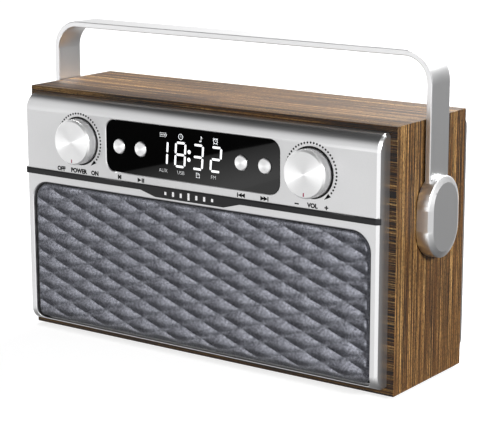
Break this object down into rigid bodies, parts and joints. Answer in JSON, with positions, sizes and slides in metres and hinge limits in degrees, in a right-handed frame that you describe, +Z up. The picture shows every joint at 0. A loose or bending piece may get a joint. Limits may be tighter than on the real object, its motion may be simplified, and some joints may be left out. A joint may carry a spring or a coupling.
{
  "type": "tabletop radio",
  "caption": "Tabletop radio in a wooden cabinet with a rounded silver front, quilted cloth grille, clock display, knobs, push buttons and a swinging carrying handle.",
  "frame": {"origin": "on the surface the feet stand on, below the middle of the whole outline", "axes": "+X to the right seen from the front, +Y from the front panel to the rear cover, +Z up"},
  "size_m": [0.2838, 0.1066, 0.1924],
  "materials": {
    "walnut_board": "walnut veneer, satin lacquer",
    "silver_shell": "moulded shell, satin silver paint",
    "black_window": "gloss black lens",
    "black_trim": "dark semi-gloss strip",
    "badge_metal": "bright raised bars",
    "grille_fabric": "blue-grey speaker cloth over a quilted relief",
    "black_frame": "black moulded plastic",
    "fibreboard": "raw fibreboard",
    "speaker_steel": "black pressed steel",
    "cone_paper": "doped paper cone and rolled surround",
    "ferrite": "ferrite magnet with steel plates",
    "knob_metal": "spun aluminium",
    "red_mark": "red paint mark",
    "dial_ring": "gloss black ring",
    "shaft_steel": "turned steel",
    "switch_body": "black moulded plastic",
    "circuit_board": "green solder mask",
    "chip_black": "moulded chip packages",
    "sink_metal": "extruded aluminium",
    "cell_wrap": "shrink-wrapped cell",
    "socket_metal": "plated steel socket",
    "screw_metal": "zinc-plated steel",
    "copper_foil": "copper foil",
    "handle_metal": "satin anodised aluminium",
    "foot_rubber": "soft rubber",
    "nylon": "black nylon"
  },
  "bodies": {
    "cabinet": {"antenna_strip": "copper_foil", "aux_jack": "switch_body", "badge_motif": "badge_metal", "battery_cells": "cell_wrap", "battery_cradle": "black_frame", "cabinet_bottom": "walnut_board", "cabinet_left": "walnut_board", "cabinet_right": "walnut_board", "cabinet_top": "walnut_board", "card_slot": "socket_metal", "charge_port": "socket_metal", "control_board": "circuit_board", "corner_blocks": "fibreboard", "display_module": "switch_body", "display_window": "black_window", "front_panel": "silver_shell", "grille_cloth": "grille_fabric", "grille_frame": "black_frame", "heat_sink": "sink_metal", "main_board": "circuit_board", "main_board_parts": "chip_black", "pivot_bushes": "nylon", "power_ring": "dial_ring", "power_switch": "switch_body", "rear_cover": "silver_shell", "rear_screws": "screw_metal", "rubber_feet": "foot_rubber", "socket_board": "circuit_board", "speaker_baffle": "fibreboard", "speaker_cone_left": "cone_paper", "speaker_cone_right": "cone_paper", "speaker_frame_left": "speaker_steel", "speaker_frame_right": "speaker_steel", "speaker_magnet_left": "ferrite", "speaker_magnet_right": "ferrite", "speaker_screws": "screw_metal", "tact_switches": "switch_body", "trim_strip": "black_trim", "usb_port": "socket_metal", "volume_encoder": "switch_body", "volume_ring": "dial_ring"},
    "handle": {"handle_bar": "handle_metal", "handle_boss_left": "handle_metal", "handle_boss_right": "handle_metal", "pivot_bolts": "screw_metal", "pivot_nuts": "screw_metal", "pivot_washers": "screw_metal"},
    "power_dial": {"power_knob": "knob_metal", "power_pointer": "red_mark", "power_shaft": "shaft_steel"},
    "volume_dial": {"volume_knob": "knob_metal", "volume_pointer": "red_mark", "volume_shaft": "shaft_steel"},
    "mode_key": {"mode_button": "knob_metal"},
    "play_key": {"play_button": "knob_metal"},
    "previous_key": {"previous_button": "knob_metal"},
    "next_key": {"next_button": "knob_metal"}
  },
  "joints": [
    {"name": "handle_swing", "type": "hinge", "parent": "cabinet", "child": "handle", "pos_m": [0, 0.00375, 0.0991], "axis": [1, 0, 0], "range_deg": [-135, 135]},
    {"name": "power_turn", "type": "hinge", "parent": "cabinet", "child": "power_dial", "pos_m": [-0.0842, -0.0533, 0.1259], "axis": [0, 1, 0], "range_deg": [-35, 35], "stiffness_Nm_per_rad": 0.02},
    {"name": "volume_turn", "type": "hinge", "parent": "cabinet", "child": "volume_dial", "pos_m": [0.0842, -0.0533, 0.1259], "axis": [0, 1, 0], "continuous": true},
    {"name": "mode_press", "type": "slide", "parent": "cabinet", "child": "mode_key", "axis": [0, 1, 0], "range_m": [0, 0.0005], "stiffness_N_per_m": 400, "springref_m": -0.001},
    {"name": "play_press", "type": "slide", "parent": "cabinet", "child": "play_key", "axis": [0, 1, 0], "range_m": [0, 0.0005], "stiffness_N_per_m": 400, "springref_m": -0.001},
    {"name": "previous_press", "type": "slide", "parent": "cabinet", "child": "previous_key", "axis": [0, 1, 0], "range_m": [0, 0.0005], "stiffness_N_per_m": 400, "springref_m": -0.001},
    {"name": "next_press", "type": "slide", "parent": "cabinet", "child": "next_key", "axis": [0, 1, 0], "range_m": [0, 0.0005], "stiffness_N_per_m": 400, "springref_m": -0.001}
  ]
}
